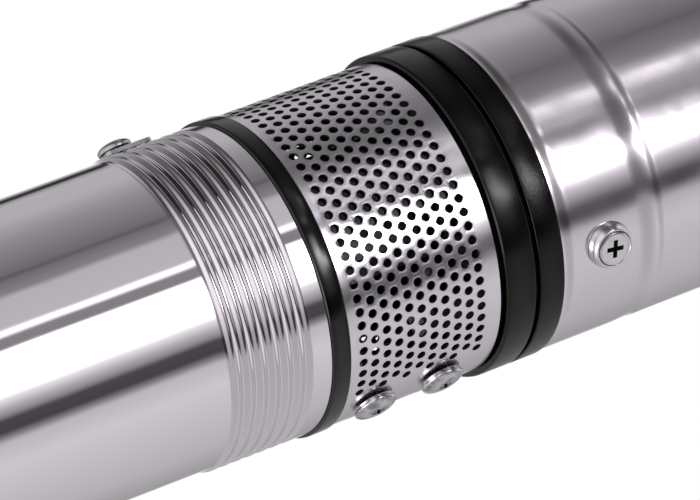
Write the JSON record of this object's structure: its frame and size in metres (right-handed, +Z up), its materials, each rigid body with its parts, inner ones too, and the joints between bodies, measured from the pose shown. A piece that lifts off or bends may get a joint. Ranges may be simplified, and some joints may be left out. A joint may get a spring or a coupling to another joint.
{
  "type": "borehole submersible pump",
  "caption": "Slim borehole pump: brushed motor shell, black flange, perforated suction strainer, polished pump shell with a rolled thread band and a threaded outlet head.",
  "frame": {"origin": "centre of the flat base of the motor, where the upright pump stands", "axes": "+Z up along the shaft from the motor to the outlet; +Y towards the cable gland; +X towards one lifting eye"},
  "size_m": [0.0999, 0.0978, 0.5989],
  "materials": {
    "polished_stainless": "mirror-polished stainless sheet",
    "brushed_stainless": "fine brushed stainless sheet",
    "machined_steel": "machined or plated steel",
    "black_nylon": "moulded black, glossy",
    "black_rubber": "satin black",
    "cast_iron": "cast",
    "electrical_steel": "stacked sheet",
    "enamelled_copper": "varnished enamelled wire",
    "carbon_graphite": "carbon graphite",
    "pale_noryl": "moulded, matt",
    "brass": "turned"
  },
  "bodies": {
    "casing": {"base_cap": "black_nylon", "bearing_spider": "black_nylon", "cup_washer_1": "machined_steel", "cup_washer_2": "machined_steel", "discharge_head": "black_nylon", "flange_bolt_1": "machined_steel", "flange_bolt_2": "machined_steel", "flange_bolt_3": "machined_steel", "flange_bolt_4": "machined_steel", "gland_body": "black_nylon", "gland_nut": "black_nylon", "gland_seal": "black_rubber", "guide_vanes_1": "pale_noryl", "guide_vanes_2": "pale_noryl", "guide_vanes_3": "pale_noryl", "lead_grommet": "black_rubber", "lock_plate": "machined_steel", "lock_screw": "machined_steel", "lower_bearing_bracket": "cast_iron", "lower_bearing_bush": "carbon_graphite", "lower_winding": "enamelled_copper", "motor_flange": "black_nylon", "motor_shell": "brushed_stainless", "pressure_diaphragm": "black_rubber", "pump_shell": "polished_stainless", "seal_seat": "carbon_graphite", "shell_screw_1": "machined_steel", "shell_screw_2": "machined_steel", "shell_seal_ring": "black_rubber", "stage_bowl_1": "machined_steel", "stage_bowl_2": "machined_steel", "stage_bowl_3": "machined_steel", "stator_core": "electrical_steel", "strainer": "brushed_stainless", "strainer_screw_1": "machined_steel", "strainer_screw_2": "machined_steel", "suction_bracket": "black_nylon", "thrust_pads": "machined_steel", "top_bearing_bush": "black_rubber", "upper_bearing_bush": "carbon_graphite", "upper_winding": "enamelled_copper", "valve_guide_cage": "pale_noryl", "valve_seat": "brass", "valve_spring": "machined_steel", "wear_ring_1": "black_rubber", "wear_ring_2": "black_rubber", "wear_ring_3": "black_rubber"},
    "rotor": {"coupling": "machined_steel", "impeller_1": "pale_noryl", "impeller_2": "pale_noryl", "impeller_3": "pale_noryl", "impeller_nut": "machined_steel", "motor_shaft": "machined_steel", "pump_shaft": "machined_steel", "rotor_core": "electrical_steel", "sand_slinger": "black_rubber", "seal_ring": "machined_steel", "seal_spring": "machined_steel", "thrust_disc": "machined_steel"},
    "valve": {"valve_poppet": "brass"}
  },
  "joints": [
    {"name": "shaft_spin", "type": "hinge", "parent": "casing", "child": "rotor", "pos_m": [0, 0, 0.3492], "axis": [0, 0, 1], "continuous": true},
    {"name": "valve_lift", "type": "slide", "parent": "casing", "child": "valve", "axis": [0, 0, 1], "range_m": [0, 0.008], "stiffness_N_per_m": 250, "springref_m": -0.004, "deforming": ["valve_spring"]}
  ]
}
